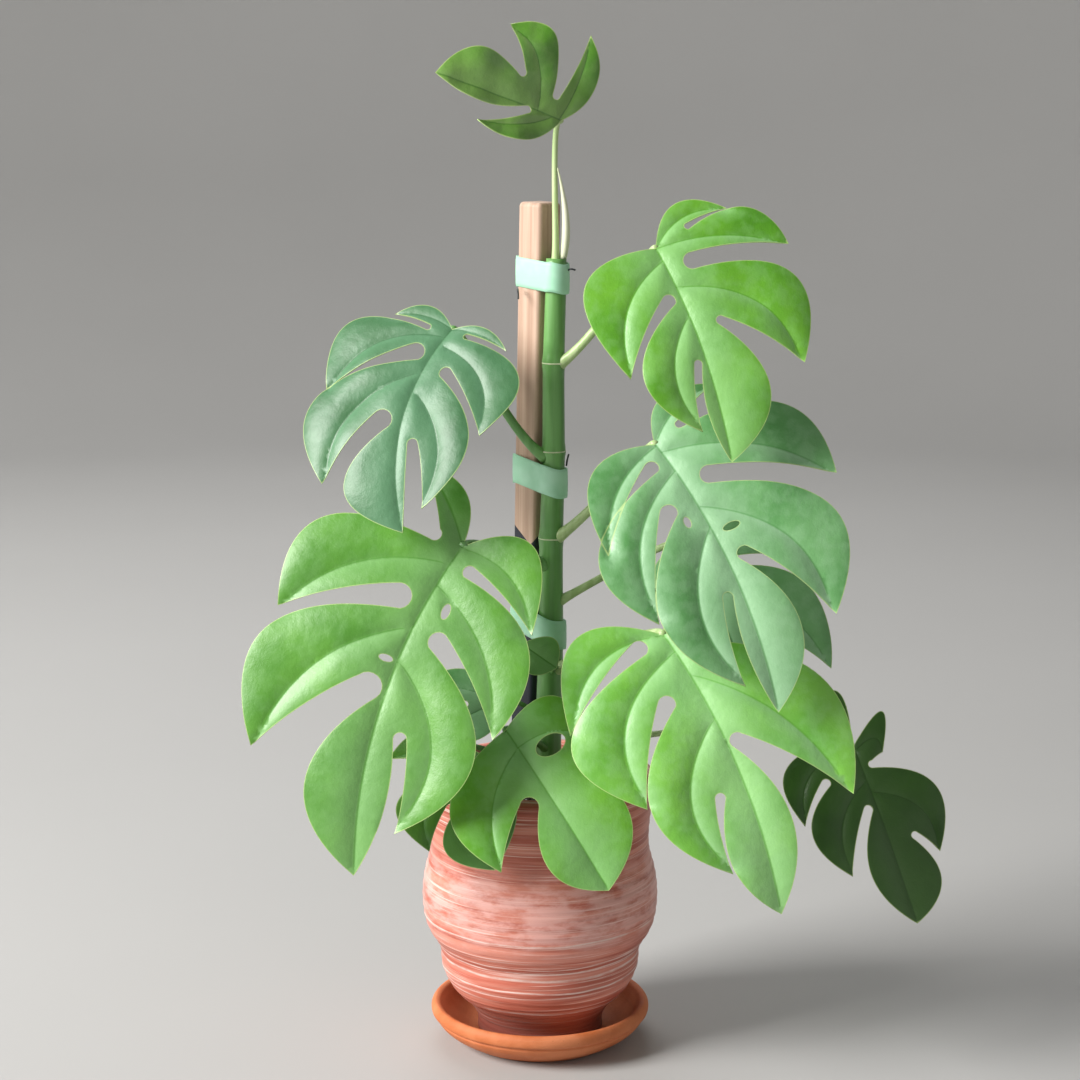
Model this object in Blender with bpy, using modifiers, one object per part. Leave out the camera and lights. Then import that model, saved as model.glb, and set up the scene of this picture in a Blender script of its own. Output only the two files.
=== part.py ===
"""Potted split-leaf plant tied to a stake, in a turned pot on a saucer. Metres, +Z up."""
import math

import bmesh
import bpy
from mathutils import Matrix, Vector
from mathutils.geometry import delaunay_2d_cdt, interpolate_bezier

MM = 0.001
GAP = 0.3 * MM

# Pot and saucer
SAUCER_R = 54.0 * MM
SAUCER_H = 19.0 * MM
SAUCER_BASE_R = 37.0 * MM
SAUCER_FLOOR = 5.0 * MM
POT_RIM_R = 55.5 * MM
POT_RIM_Z = 137.0 * MM
POT_WALL = 5.0 * MM
POT_FOOT_R = 31.0 * MM
DRAIN_R = 5.0 * MM
SOIL_Z = 124.0 * MM
TURN_STEPS = 36

# Stake, stem and straps
STAKE_SIDE = 14.8 * MM
STAKE_Y = 8.0 * MM
STAKE_FOOT = (-6.5 * MM, 30.0 * MM)
STAKE_TOP = (0.0, 412.0 * MM)
STAKE_EDGE = 1.8 * MM
STEM_FOOT = (3.5 * MM, -7.0 * MM, 96.0 * MM)
STEM_TOP = (7.4 * MM, -3.6 * MM, 386.0 * MM)
STEM_FOOT_R = 7.1 * MM
STEM_TOP_R = 5.2 * MM
STEM_POINTS = 15
STRAP_H = 14.0 * MM
STRAP_T = 0.8 * MM
STRAP_CLEARANCE = 0.6 * MM
STRAPS = ((378 * MM, -0.10), (282 * MM, -0.20), (209 * MM, -0.28))

# Leaves
BLADE_T = 0.9 * MM
EDGE_POINTS = 5
NET = 0.15

# A leaf's base, tip and stem height are in millimetres. Each lobe is a shoulder, a tip, the inner end of
# the slot after it (across, along) and that slot's half width, in leaf lengths, from the leaf's base to
# its tip. The last entry is the end lobe's shoulder. A hole is its centre and its two half sizes.
LEAVES = {
    "leaf_upper_left": dict(
        base=(-41, -20, 355), tip=(-63, -62, 266), face=(-0.28, -0.92, 0.25), fold=0.14, droop=0.40,
        stem_z=292, petiole=2.1, holes=[],
        left=[((0.13, -0.10), (0.30, -0.04), (0.10, 0.01), 0.015),
              ((0.54, 0.06), (0.53, 0.38), (0.10, 0.12), 0.045),
              ((0.60, 0.55), (0.44, 0.83), (0.18, 0.46), 0.050), ((0.31, 0.86),)],
        right=[((0.16, -0.02), (0.29, 0.08), (0.07, 0.03), 0.015),
               ((0.39, 0.22), (0.27, 0.51), (0.02, 0.21), 0.030),
               ((0.23, 0.56), (0.07, 0.88), (-0.04, 0.57), 0.025), ((-0.02, 0.84),)]),
    "leaf_lower_left": dict(
        base=(-36, -40, 256), tip=(-86, -85, 110), face=(-0.12, -0.93, 0.30), fold=0.14, droop=0.35,
        stem_z=240, petiole=2.3, holes=[(-0.02, 0.20, 0.012, 0.024), (0.10, 0.38, 0.020, 0.010)],
        left=[((0.04, -0.15), (0.19, -0.20), (0.07, 0.00), 0.020),
              ((0.46, 0.09), (0.46, 0.33), (0.09, 0.18), 0.038),
              ((0.49, 0.46), (0.40, 0.74), (0.10, 0.44), 0.040), ((0.20, 0.83),)],
        right=[((0.17, -0.07), (0.28, 0.19), (0.03, 0.06), 0.020),
               ((0.30, 0.26), (0.27, 0.51), (0.01, 0.27), 0.030),
               ((0.24, 0.61), (0.08, 0.85), (0.01, 0.57), 0.020), ((0.03, 0.86),)]),
    "leaf_upper_right": dict(
        base=(53, -30, 393), tip=(87, -65, 299), face=(0.02, -0.93, 0.34), fold=0.12, droop=0.35,
        stem_z=337, petiole=2.0, holes=[],
        left=[((0.32, 0.04), (0.30, 0.53), (0.01, 0.23), 0.030),
              ((0.25, 0.58), (0.08, 0.84), (0.00, 0.54), 0.018),
              ((0.03, 0.86),)],
        right=[((0.15, -0.17), (0.36, -0.08), (0.15, -0.05), 0.015),
               ((0.48, -0.03), (0.56, 0.16), (0.09, 0.10), 0.040),
               ((0.54, 0.33), (0.44, 0.69), (0.14, 0.39), 0.020), ((0.24, 0.81),)]),
    "leaf_mid_right": dict(
        base=(53, -41, 304), tip=(108, -90, 189), face=(0.03, -0.92, 0.38), fold=0.13, droop=0.30,
        stem_z=254, petiole=2.2, holes=[(-0.11, 0.37, 0.030, 0.013), (0.02, 0.30, 0.012, 0.020)],
        left=[((0.22, 0.00), (0.31, 0.30), (0.03, 0.06), 0.025),
              ((0.36, 0.37), (0.25, 0.58), (0.05, 0.22), 0.030),
              ((0.24, 0.63), (0.07, 0.88), (0.00, 0.57), 0.018), ((0.02, 0.88),)],
        right=[((0.05, -0.12), (0.28, -0.12), (0.09, -0.03), 0.015),
               ((0.50, 0.10), (0.52, 0.34), (0.09, 0.16), 0.032),
               ((0.46, 0.50), (0.31, 0.78), (0.10, 0.45), 0.025), ((0.17, 0.82),)]),
    "leaf_lower_right": dict(
        base=(57, -54, 217), tip=(110, -100, 97), face=(0.00, -0.92, 0.38), fold=0.13, droop=0.30,
        stem_z=189, petiole=2.2, holes=[],
        left=[((0.27, -0.10), (0.42, 0.20), (0.07, 0.00), 0.030),
              ((0.44, 0.28), (0.28, 0.52), (0.07, 0.20), 0.030),
              ((0.27, 0.57), (0.10, 0.82), (0.04, 0.56), 0.018), ((0.08, 0.87),)],
        right=[((0.12, -0.12), (0.22, -0.03), (0.05, 0.03), 0.015),
               ((0.45, 0.44), (0.37, 0.73), (0.07, 0.40), 0.025),
               ((0.14, 0.78),)]),
    "leaf_far_right": dict(
        base=(155, 15, 144), tip=(184, -20, 64), face=(0.12, -0.95, 0.16), fold=0.10, droop=0.30,
        stem_z=142, petiole=1.5, holes=[],
        left=[((0.00, -0.33), (0.12, -0.26), (0.10, -0.06), 0.020),
              ((0.41, 0.03), (0.40, 0.33), (0.20, 0.13), 0.025),
              ((0.38, 0.38), (0.25, 0.66), (0.04, 0.33), 0.025), ((0.15, 0.74),)],
        right=[((0.22, -0.13), (0.14, 0.08), (0.04, 0.12), 0.020),
               ((0.34, 0.34), (0.24, 0.68), (0.13, 0.54), 0.020),
               ((0.19, 0.84),)]),
    "leaf_behind_right": dict(
        base=(71, -20, 254), tip=(105, -40, 171), face=(0.05, -0.92, 0.38), fold=0.10, droop=0.30,
        stem_z=222, petiole=1.8, holes=[],
        left=[((0.22, 0.05), (0.24, 0.36), (0.05, 0.22), 0.025), ((0.20, 0.66),)],
        right=[((0.28, -0.05), (0.38, 0.22), (0.10, 0.16), 0.025),
               ((0.46, 0.39), (0.44, 0.88), (0.10, 0.50), 0.025),
               ((0.14, 0.80),)]),
    "leaf_top": dict(
        base=(10, -8, 450), tip=(-48, -20, 472), face=(-0.15, -0.93, 0.34), fold=0.18, droop=-0.30,
        stem_z=386, petiole=1.4, holes=[],
        left=[((0.30, -0.16), (0.62, 0.02), (0.12, 0.10), 0.030),
              ((0.56, 0.37), (0.49, 0.61), (0.19, 0.38), 0.030),
              ((0.26, 0.80),)],
        right=[((0.27, 0.26), (0.24, 0.62), (0.01, 0.25), 0.030), ((0.09, 0.62),)]),
    "leaf_front": dict(
        base=(-16, -52, 171), tip=(32, -84, 103), face=(0.05, -0.88, 0.46), fold=0.10, droop=0.15,
        stem_z=150, petiole=1.7, holes=[(-0.15, 0.20, 0.085, 0.055)],
        left=[((0.52, 0.31), (0.43, 0.63), (0.09, 0.38), 0.050), ((0.20, 0.81),)],
        right=[((0.29, -0.03), (0.36, 0.36), (0.24, 0.38), 0.020), ((0.29, 0.76),)]),
    "leaf_low_back": dict(
        base=(-33, -45, 160), tip=(-21, -67, 107), face=(-0.05, -0.90, 0.42), fold=0.10, droop=0.10,
        stem_z=136, petiole=1.4, holes=[],
        left=[((0.38, -0.22), (0.66, -0.05), (0.20, 0.12), 0.040),
              ((0.67, 0.35), (0.48, 0.75), (0.22, 0.42), 0.040),
              ((0.36, 0.74),)],
        right=[((0.28, 0.40),)]),
    "leaf_small_back": dict(
        base=(-15, -16, 177), tip=(-54, -26, 160), face=(-0.15, -0.88, 0.45), fold=0.10, droop=0.20,
        stem_z=166, petiole=1.2, holes=[],
        left=[((0.55, 0.38), (0.50, 0.98), (0.11, 0.44), 0.040), ((0.14, 0.72),)],
        right=[((0.30, 0.45),)]),
    "leaf_young": dict(
        base=(8, -22, 193), tip=(-9, -25, 206), face=(-0.10, -0.97, 0.20), fold=0.15, droop=0.40,
        stem_z=187, petiole=1.2, holes=[],
        left=[((0.50, 0.42),)], right=[((0.45, 0.45),)]),
}


def material(name, color, roughness, metallic=0.0):
    mat = bpy.data.materials.new(name)
    mat.use_nodes = True
    shader = mat.node_tree.nodes["Principled BSDF"]
    shader.inputs["Base Color"].default_value = (*color, 1.0)
    shader.inputs["Roughness"].default_value = roughness
    shader.inputs["Metallic"].default_value = metallic
    return mat


def add_object(name, data, mat, collection):
    obj = bpy.data.objects.new(name, data)
    obj.data.materials.append(mat)
    collection.objects.link(obj)
    return obj


def turned(name, profile, mat, collection, closed):
    """A profile in the XZ plane, outer side first and downwards, spun about Z."""
    mesh = bpy.data.meshes.new(name)
    count = len(profile)
    edges = [(i, i + 1) for i in range(count - 1)]
    if closed:
        edges.append((count - 1, 0))
    mesh.from_pydata([(r, 0.0, z) for r, z in profile], edges, [])
    obj = add_object(name, mesh, mat, collection)
    screw = obj.modifiers.new("turn", "SCREW")
    screw.steps = TURN_STEPS
    screw.render_steps = TURN_STEPS
    screw.use_merge_vertices = True
    screw.merge_threshold = 0.00005
    screw.use_smooth_shade = True
    return obj


def tube(name, points, radii, mat, collection):
    """A round tube through the points, with its own radius at each."""
    curve = bpy.data.curves.new(name, "CURVE")
    curve.dimensions = "3D"
    curve.bevel_depth = 1.0
    curve.bevel_resolution = 2
    curve.use_fill_caps = True
    spline = curve.splines.new("POLY")
    spline.points.add(len(points) - 1)
    for slot, point, radius in zip(spline.points, points, radii):
        slot.co = (*point, 1.0)
        slot.radius = radius
    return add_object(name, curve, mat, collection)


def pot_profile():
    """Outer wall from the rim down to the foot, then the inner wall back up."""
    outer = [(POT_RIM_R - 2 * MM, POT_RIM_Z), (POT_RIM_R, POT_RIM_Z - 2 * MM),
             (POT_RIM_R - 0.3 * MM, 125 * MM),
             (54 * MM, 97 * MM), (57 * MM, 85 * MM), (58 * MM, 73 * MM), (56 * MM, 60 * MM),
             (49.5 * MM, 48 * MM), (48.5 * MM, 38 * MM), (43 * MM, 27 * MM), (35 * MM, 19 * MM),
             (POT_FOOT_R, 11 * MM), (POT_FOOT_R, SAUCER_FLOOR + GAP), (DRAIN_R, SAUCER_FLOOR + GAP)]
    inner = [(DRAIN_R, 12 * MM), (27 * MM, 13 * MM), (38 * MM, 29 * MM), (43.5 * MM, 40 * MM),
             (44.5 * MM, 50 * MM), (51 * MM, 62 * MM), (53 * MM, 73 * MM), (49 * MM, 97 * MM),
             (POT_RIM_R - POT_WALL, 125 * MM), (POT_RIM_R - POT_WALL, POT_RIM_Z - 1 * MM)]
    return outer + inner


def saucer_profile():
    """From the centre of the floor's top, over the rolled rim, to the centre of the underside."""
    top = [(0.0, SAUCER_FLOOR), (38 * MM, SAUCER_FLOOR), (45 * MM, 11 * MM), (48.5 * MM, 16.5 * MM),
           (50 * MM, 18.5 * MM), (52 * MM, SAUCER_H), (SAUCER_R - 0.4 * MM, 17 * MM)]
    under = [(SAUCER_R, 14.5 * MM), (52 * MM, 12.5 * MM), (49.5 * MM, 11 * MM), (44 * MM, 4.5 * MM),
             (SAUCER_BASE_R + 1 * MM, 0.6 * MM), (SAUCER_BASE_R, 0.0), (0.0, 0.0)]
    return top + under


def soil_profile():
    """The soil fills the pot, a gap inside its inner wall."""
    return [(0.0, SOIL_Z), (40 * MM, SOIL_Z), (49.6 * MM, SOIL_Z - 2 * MM), (48.4 * MM, 97 * MM),
            (52.2 * MM, 73 * MM), (43.8 * MM, 51 * MM), (42.7 * MM, 40 * MM), (26 * MM, 13.9 * MM),
            (0.0, 12.9 * MM)]


def blend(a, b, t):
    return a + (b - a) * t


def stem_at(z):
    """The stem's centre and radius at a height: it leans a little, and is thicker at the foot."""
    t = (z - STEM_FOOT[2]) / (STEM_TOP[2] - STEM_FOOT[2])
    centre = Vector((blend(STEM_FOOT[0], STEM_TOP[0], t), blend(STEM_FOOT[1], STEM_TOP[1], t), z))
    return centre, blend(STEM_FOOT_R, STEM_TOP_R, t)


def stake_x(z):
    """The stake leans by about one degree, so its centre moves across with height."""
    t = (z - STAKE_FOOT[1]) / (STAKE_TOP[1] - STAKE_FOOT[1])
    return blend(STAKE_FOOT[0], STAKE_TOP[0], t)


def strap_outline(z):
    """A loop round the stake's corners and the stem at one height, as a taut tape lies."""
    half = STAKE_SIDE / math.sqrt(2)
    corners = [Vector((stake_x(z) + half * math.cos(a), STAKE_Y + half * math.sin(a)))
               for a in (0, math.pi / 2, math.pi, 3 * math.pi / 2)]
    centre, radius = stem_at(z)
    held = [(corner, 0.0) for corner in corners] + [(centre.xy, radius)]
    loop = []
    for k in range(32):
        angle = 2 * math.pi * k / 32
        normal = Vector((math.cos(angle), math.sin(angle)))
        point, reach = max(held, key=lambda item: item[0].dot(normal) + item[1])
        loop.append(point + normal * (reach + STRAP_CLEARANCE))
    return loop


def through(start, middle, end, count):
    """Points on a quadratic curve that passes through the middle point, without its end."""
    a = (middle - start).length
    b = (end - middle).length
    t = a / (a + b)
    control = (middle - (1 - t) ** 2 * start - t ** 2 * end) / (2 * t * (1 - t))
    return [(1 - s) ** 2 * start + 2 * s * (1 - s) * control + s ** 2 * end
            for s in (i / count for i in range(count))]


def side_outline(lobes, sign, count):
    """One side of a blade: out round each lobe to its tip, back in, and round the slot's inner end."""
    points = []
    start = Vector((0.0, 0.0))
    for lobe, following in zip(lobes, lobes[1:]):
        shoulder, tip, slot = (Vector((sign * x, y)) for x, y in lobe[:3])
        width = lobe[3]
        beyond = Vector((sign * following[0][0], following[0][1]))
        out = ((2 * tip + beyond) / 3 - slot).normalized()
        aside = Vector((out.y, -out.x)) * sign
        centre = slot + width * out
        back = centre + width * aside
        points += through(start, shoulder, tip, count)
        hollow = (tip + back) / 2 + 0.04 * (tip - back).length * aside
        points += through(tip, hollow, back, count - 1)
        points += [centre + width * (math.cos(a) * aside - math.sin(a) * out)
                   for a in (math.pi * k / (count - 1) for k in range(count - 1))]
        start = centre - width * aside
    shoulder = Vector((sign * lobes[-1][0][0], lobes[-1][0][1]))
    points += through(start, shoulder, Vector((0.0, 1.0)), count)
    return points


def blade_height(spec, x, y):
    """How far the blade stands off its plane: a fold at the midrib, drooping sides and an arched length."""
    t = min(max(y, -0.3), 1.0)
    rise = spec["fold"] * (math.sqrt(x * x + 0.0008) - 0.028)
    return rise - spec["droop"] * x * x + 0.20 * t * (1 - t)


def blade_frame(spec):
    base = Vector(spec["base"]) * MM
    tip = Vector(spec["tip"]) * MM
    along = (tip - base).normalized()
    face = Vector(spec["face"])
    normal = (face - face.dot(along) * along).normalized()
    return base, along.cross(normal), along, normal, (tip - base).length


def inside(point, loop):
    """Whether the outline goes round the point. Lobes that touch count, and the slot they close doesn't."""
    turns = 0
    for a, b in zip(loop, loop[1:] + loop[:1]):
        if (a.y > point.y) != (b.y > point.y):
            if point.x < (b.x - a.x) * (point.y - a.y) / (b.y - a.y) + a.x:
                turns += 1 if b.y > a.y else -1
    return turns != 0


def blade(name, spec, mat, collection):
    """A lobed, folded blade: its outline filled with a coarse net of triangles, then given thickness."""
    left = side_outline(spec["left"], 1.0, EDGE_POINTS)
    right = side_outline(spec["right"], -1.0, EDGE_POINTS)
    loop = left + [Vector((0.0, 1.0))] + right[:0:-1]
    holes = [[Vector((x + a * math.cos(t), y + b * math.sin(t))) for t in (math.pi * k / 4 for k in range(8))]
             for x, y, a, b in spec["holes"]]
    points = loop + [p for hole in holes for p in hole]
    edges = [(i, (i + 1) % len(loop)) for i in range(len(loop))]
    for number in range(len(holes)):
        first = len(loop) + 8 * number
        edges += [(first + k, first + (k + 1) % 8) for k in range(8)]
    net = [Vector((column * NET, row * NET)) for row in range(-2, 7) for column in range(-4, 5)]
    net = [p for p in net if inside(p, loop) and min((p - q).length for q in points) > 0.03]
    verts, _, faces, _, _, _ = delaunay_2d_cdt(points + net, edges, [list(range(len(loop)))], 1, 1e-5)
    kept = []
    for face in faces:
        middle = sum((verts[i] for i in face), Vector((0.0, 0.0))) / 3
        if inside(middle, loop) and not any(inside(middle, hole) for hole in holes):
            kept.append(face)
    base, side, along, normal, length = blade_frame(spec)
    mesh = bpy.data.meshes.new(name)
    placed = [base + length * (v.x * side + v.y * along + blade_height(spec, v.x, v.y) * normal)
              for v in verts]
    mesh.from_pydata(placed, [], kept)
    work = bmesh.new()
    work.from_mesh(mesh)
    bmesh.ops.recalc_face_normals(work, faces=work.faces[:])
    loose = [v for v in work.verts if not v.link_faces]
    bmesh.ops.delete(work, geom=loose, context="VERTS")
    work.to_mesh(mesh)
    work.free()
    obj = add_object(name, mesh, mat, collection)
    solid = obj.modifiers.new("thickness", "SOLIDIFY")
    solid.thickness = BLADE_T
    solid.offset = 0.0
    return obj


def petiole(name, spec, mat, collection):
    """A leaf stalk: it leaves the stem outwards, rises, and meets the back of the blade's base."""
    base, _, _, normal, _ = blade_frame(spec)
    radius = spec["petiole"] * MM
    end = base - normal * (radius + BLADE_T)
    centre, stem_r = stem_at(spec["stem_z"] * MM)
    out = Vector((end.x - centre.x, end.y - centre.y, 0.0)).normalized()
    start = centre + out * (stem_r + radius + 0.5 * MM)
    lift = Vector((0.0, 0.0, 0.15))
    if spec["stem_z"] * MM >= STEM_TOP[2]:
        start = centre + Vector((0.0, 0.0, GAP))
        out = Vector((0.0, 0.0, 1.0))
    reach = (end - start).length
    points = interpolate_bezier(start, start + reach * (0.25 * out + lift),
                                end + reach * (0.7 * lift - 0.25 * normal), end, 12)
    radii = [radius * blend(1.15, 0.90, i / 11) for i in range(12)]
    return tube(name, points, radii, mat, collection)


def top_sheath(mat, collection):
    """The papery sheath beside the top leaf's stalk, left from when the leaf unrolled."""
    foot, _ = stem_at(STEM_TOP[2])
    start = foot + Vector((3.4 * MM, 0.0, GAP))
    points = interpolate_bezier(start, start + Vector((2 * MM, 0, 16 * MM)),
                                start + Vector((2 * MM, 0, 34 * MM)),
                                start + Vector((-0.5 * MM, 0, 50 * MM)), 9)
    radii = [blend(1.5 * MM, 0.5 * MM, (i / 8) ** 2) for i in range(9)]
    return tube("top_sheath", points, radii, mat, collection)


def leaning(bottom_z, side, length):
    """The place and turn of a square bar on the stake's axis, set with a corner to the front."""
    lean = math.atan2(STAKE_TOP[0] - STAKE_FOOT[0], STAKE_TOP[1] - STAKE_FOOT[1])
    foot = Vector((stake_x(bottom_z), STAKE_Y, bottom_z))
    turn = Matrix.Rotation(lean, 4, "Y") @ Matrix.Rotation(math.pi / 4, 4, "Z")
    size = Matrix.Diagonal((side, side, length, 1.0))
    return Matrix.Translation(foot) @ turn, Matrix.Translation((0, 0, length / 2)) @ size


def primitive(name, collection):
    """The primitive that was just added, named and moved to its own collection."""
    obj = bpy.context.object
    obj.name = name
    for owner in list(obj.users_collection):
        owner.objects.unlink(obj)
    collection.objects.link(obj)
    return obj


def square_bar(name, bottom_z, top_z, side, collection):
    bpy.ops.mesh.primitive_cube_add(size=1.0)
    obj = primitive(name, collection)
    place, shape = leaning(bottom_z, side, top_z - bottom_z)
    obj.data.transform(shape)
    obj.matrix_world = place
    return obj


def strap(number, z, slope, mat, collection):
    """One turn of plant tape round the stake and the stem, lower towards the right."""
    loop = strap_outline(z)
    size = len(loop)
    verts = [(p.x, p.y, z + slope * p.x + rise) for rise in (-STRAP_H / 2, STRAP_H / 2) for p in loop]
    faces = [(i, (i + 1) % size, size + (i + 1) % size, size + i) for i in range(size)]
    mesh = bpy.data.meshes.new(f"strap_{number}")
    mesh.from_pydata(verts, [], faces)
    obj = add_object(f"strap_{number}", mesh, mat, collection)
    tape = obj.modifiers.new("thickness", "SOLIDIFY")
    tape.thickness = STRAP_T
    tape.offset = 1.0
    return obj


def soil_with_sockets(mat, collection, cutters):
    """The soil, with a square socket for the stake and a round one for the foot of the stem."""
    soil = turned("soil", soil_profile(), mat, collection, closed=False)
    above = SOIL_Z + 20 * MM
    square = square_bar("stake_hole", STAKE_FOOT[1] - GAP, above, STAKE_SIDE + 2 * GAP, cutters)
    depth = above - STEM_FOOT[2] + GAP
    bpy.ops.mesh.primitive_cylinder_add(vertices=20, radius=STEM_FOOT_R + 0.8 * MM, depth=depth)
    round_hole = primitive("stem_hole", cutters)
    round_hole.location = (STEM_FOOT[0], STEM_FOOT[1], STEM_FOOT[2] - GAP + depth / 2)
    for cutter in (square, round_hole):
        cutter.hide_render = True
        cutter.display_type = "WIRE"
        cut = soil.modifiers.new(cutter.name, "BOOLEAN")
        cut.operation = "DIFFERENCE"
        cut.object = cutter
    return soil


def main():
    for obj in list(bpy.data.objects):
        bpy.data.objects.remove(obj, do_unlink=True)
    plant = bpy.data.collections.new("potted_plant")
    cutters = bpy.data.collections.new("cutters")
    bpy.context.scene.collection.children.link(plant)
    bpy.context.scene.collection.children.link(cutters)

    orange_clay = material("orange_clay", (0.55, 0.20, 0.09), 0.75)
    marbled_clay = material("marbled_clay", (0.42, 0.16, 0.11), 0.60)
    earth = material("earth", (0.05, 0.035, 0.025), 0.95)
    beech = material("beech", (0.68, 0.52, 0.34), 0.60)
    mint_tape = material("mint_tape", (0.45, 0.72, 0.60), 0.50)
    green_stem = material("green_stem", (0.10, 0.22, 0.05), 0.35)
    green_leaf = material("green_leaf", (0.05, 0.20, 0.06), 0.35)
    pale_sheath = material("pale_sheath", (0.62, 0.62, 0.40), 0.50)

    turned("saucer", saucer_profile(), orange_clay, plant, closed=False)
    turned("pot", pot_profile(), marbled_clay, plant, closed=True)
    soil_with_sockets(earth, plant, cutters)

    stake = square_bar("stake", STAKE_FOOT[1], STAKE_TOP[1], STAKE_SIDE, plant)
    stake.data.materials.append(beech)
    edge = stake.modifiers.new("rounded", "BEVEL")
    edge.width = STAKE_EDGE
    edge.segments = 2

    heights = [blend(STEM_FOOT[2], STEM_TOP[2], i / (STEM_POINTS - 1)) for i in range(STEM_POINTS)]
    stem = [stem_at(z) for z in heights]
    tube("main_stem", [centre for centre, _ in stem], [radius for _, radius in stem], green_stem, plant)
    top_sheath(pale_sheath, plant)
    for number, (z, slope) in enumerate(STRAPS, start=1):
        strap(number, z, slope, mint_tape, plant)

    for name, spec in LEAVES.items():
        blade(name, spec, green_leaf, plant)
        petiole(name.replace("leaf", "petiole"), spec, green_stem, plant)


main()
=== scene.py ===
# %% [markdown]
# # A split-leaf plant in a turned pot
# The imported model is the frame: it holds the real size and place of every piece. This script keeps
# those sizes and gives each piece its fine shape and its finish.

# %% Load the frame
import math

import bmesh
import bpy
import numpy as np
from mathutils import Matrix, Vector, noise
from mathutils.geometry import delaunay_2d_cdt, interpolate_bezier


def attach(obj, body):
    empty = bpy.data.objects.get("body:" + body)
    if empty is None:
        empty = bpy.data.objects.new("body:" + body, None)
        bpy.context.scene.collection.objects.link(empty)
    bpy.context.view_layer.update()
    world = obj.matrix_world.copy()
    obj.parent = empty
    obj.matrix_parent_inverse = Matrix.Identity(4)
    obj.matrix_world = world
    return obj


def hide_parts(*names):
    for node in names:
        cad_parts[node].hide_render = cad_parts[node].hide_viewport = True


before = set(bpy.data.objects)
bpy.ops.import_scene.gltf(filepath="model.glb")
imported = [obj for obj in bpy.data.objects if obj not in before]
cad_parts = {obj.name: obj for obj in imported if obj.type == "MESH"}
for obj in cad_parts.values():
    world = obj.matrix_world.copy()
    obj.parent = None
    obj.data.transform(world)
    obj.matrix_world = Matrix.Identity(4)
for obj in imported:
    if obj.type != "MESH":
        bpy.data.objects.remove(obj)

MM = 0.001
scene = bpy.context.scene
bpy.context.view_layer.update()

# %% [markdown]
# ## Camera, light and floor
# The camera stands a little above the plant and looks slightly down, with a long lens so that the pot
# keeps its proportions. A large soft light on the left does most of the work, as a window would. A weak
# one on the right keeps the shaded sides readable.

# %% Camera
CAMERA_AT = (0.0, -1.1815, 0.482)
CAMERA_PITCH = math.radians(11.07)
CAMERA_LENS = 83.5

camera_data = bpy.data.cameras.new("camera")
camera_data.lens = CAMERA_LENS
camera_data.sensor_width = 36.0
camera = bpy.data.objects.new("camera", camera_data)
camera.location = CAMERA_AT
camera.rotation_euler = (math.pi / 2 - CAMERA_PITCH, 0.0, 0.0)
scene.collection.objects.link(camera)
scene.camera = camera


# %% Lights
def softbox(name, place, size, energy, colour):
    """A square area light that faces the middle of the plant."""
    data = bpy.data.lights.new(name, "AREA")
    data.size = size
    data.energy = energy
    data.color = colour
    lamp = bpy.data.objects.new(name, data)
    lamp.location = place
    aim = Vector((0.0, 0.0, 0.22)) - Vector(place)
    lamp.rotation_euler = aim.to_track_quat("-Z", "Y").to_euler()
    scene.collection.objects.link(lamp)


softbox("window_left", (-1.95, -0.85, 1.35), 1.1, 108.0, (1.0, 0.99, 0.97))
softbox("fill_right", (1.60, -1.60, 0.90), 1.8, 2.5, (0.96, 0.98, 1.0))
softbox("top_back", (-0.30, 1.30, 1.60), 1.2, 12.0, (1.0, 1.0, 1.0))

world = bpy.data.worlds.new("studio")
world.use_nodes = True
world.node_tree.nodes["Background"].inputs["Color"].default_value = (0.86, 0.88, 0.90, 1.0)
world.node_tree.nodes["Background"].inputs["Strength"].default_value = 0.22
scene.world = world
scene.view_settings.view_transform = "Standard"

# %% [markdown]
# ## Shader maths
# A material is easier to read as sums than as a list of links. `Val` wraps one socket, and its operators
# add the Math nodes. `Finish` makes the material and adds every other node through one method.


# %% Shader helpers
class Val:
    """One output socket that can be used in sums."""

    def __init__(self, finish, socket):
        self.finish = finish
        self.socket = socket

    def _math(self, operation, first, second):
        return self.finish.node("ShaderNodeMath", {"operation": operation}, {0: first, 1: second})

    def __add__(self, other):
        return self._math("ADD", self, other)

    def __radd__(self, other):
        return self._math("ADD", other, self)

    def __sub__(self, other):
        return self._math("SUBTRACT", self, other)

    def __rsub__(self, other):
        return self._math("SUBTRACT", other, self)

    def __mul__(self, other):
        return self._math("MULTIPLY", self, other)

    def __rmul__(self, other):
        return self._math("MULTIPLY", other, self)

    def __abs__(self):
        return self._math("ABSOLUTE", self, 0.0)

    def below(self, other):
        return self._math("LESS_THAN", self, other)


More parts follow.
